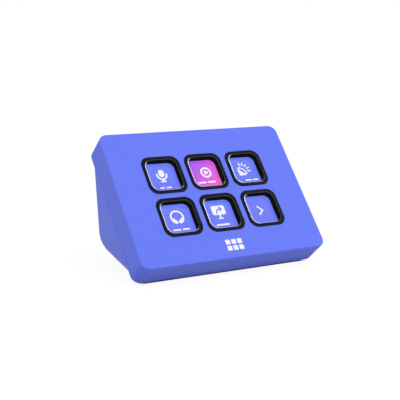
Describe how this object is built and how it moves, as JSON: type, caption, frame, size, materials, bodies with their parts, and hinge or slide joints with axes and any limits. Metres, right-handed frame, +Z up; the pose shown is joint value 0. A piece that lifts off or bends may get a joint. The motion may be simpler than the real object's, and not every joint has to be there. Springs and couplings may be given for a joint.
{
  "type": "macro keypad",
  "caption": "Small sloped desk keypad with square picture keys in black rims, set in a blue slab face on a tapered stand with a rubber foot.",
  "frame": {"origin": "middle of the part's box, on the table under the foot pad", "axes": "+Z up, -Y towards the user, +X to the user's right"},
  "size_m": [0.084, 0.0582, 0.0539],
  "materials": {
    "blue_shell": "fine matte moulded plastic",
    "key_black": "satin black moulded plastic",
    "clear_key": "polished clear plastic",
    "black_plastic": "matte black moulded plastic",
    "grey_silicone": "soft grey silicone",
    "green_board": "green solder mask",
    "gold_contacts": "thin gold plate",
    "panel_glass": "polished panel glass",
    "light_guide": "white light guide",
    "pressed_steel": "pressed plated steel",
    "amber_film": "amber polyimide film",
    "black_rubber": "matte black rubber",
    "chip_black": "moulded chip package",
    "bright_steel": "bright drawn steel",
    "screw_steel": "plated steel"
  },
  "bodies": {
    "case": {"front_cover": "blue_shell", "key_guide": "black_plastic", "key_dome_1": "grey_silicone", "key_dome_2": "grey_silicone", "key_dome_3": "grey_silicone", "key_dome_4": "grey_silicone", "key_dome_5": "grey_silicone", "key_dome_6": "grey_silicone", "silicone_sheet": "grey_silicone", "switch_board": "green_board", "contact_pads": "gold_contacts", "picture_panel": "panel_glass", "back_light": "light_guide", "panel_carrier": "pressed_steel", "panel_cable": "amber_film", "stand": "blue_shell", "base_plate": "black_plastic", "foot_pad": "black_rubber", "main_board": "green_board", "board_chips": "chip_black", "cord_socket": "bright_steel", "socket_tongue": "black_plastic", "stack_screws": "screw_steel", "base_screws": "screw_steel", "board_screws": "screw_steel"},
    "key_1": {"key_rim_1": "key_black", "key_window_1": "clear_key"},
    "key_2": {"key_rim_2": "key_black", "key_window_2": "clear_key"},
    "key_3": {"key_rim_3": "key_black", "key_window_3": "clear_key"},
    "key_4": {"key_rim_4": "key_black", "key_window_4": "clear_key"},
    "key_5": {"key_rim_5": "key_black", "key_window_5": "clear_key"},
    "key_6": {"key_rim_6": "key_black", "key_window_6": "clear_key"}
  },
  "joints": [
    {"name": "key_press_1", "type": "slide", "parent": "case", "child": "key_1", "axis": [0, 0.766, -0.6428], "range_m": [0, 0.0009], "stiffness_N_per_m": 450, "springref_m": -0.001, "deforming": ["key_dome_1"]},
    {"name": "key_press_2", "type": "slide", "parent": "case", "child": "key_2", "axis": [0, 0.766, -0.6428], "range_m": [0, 0.0009], "stiffness_N_per_m": 450, "springref_m": -0.001, "deforming": ["key_dome_2"]},
    {"name": "key_press_3", "type": "slide", "parent": "case", "child": "key_3", "axis": [0, 0.766, -0.6428], "range_m": [0, 0.0009], "stiffness_N_per_m": 450, "springref_m": -0.001, "deforming": ["key_dome_3"]},
    {"name": "key_press_4", "type": "slide", "parent": "case", "child": "key_4", "axis": [0, 0.766, -0.6428], "range_m": [0, 0.0009], "stiffness_N_per_m": 450, "springref_m": -0.001, "deforming": ["key_dome_4"]},
    {"name": "key_press_5", "type": "slide", "parent": "case", "child": "key_5", "axis": [0, 0.766, -0.6428], "range_m": [0, 0.0009], "stiffness_N_per_m": 450, "springref_m": -0.001, "deforming": ["key_dome_5"]},
    {"name": "key_press_6", "type": "slide", "parent": "case", "child": "key_6", "axis": [0, 0.766, -0.6428], "range_m": [0, 0.0009], "stiffness_N_per_m": 450, "springref_m": -0.001, "deforming": ["key_dome_6"]}
  ]
}
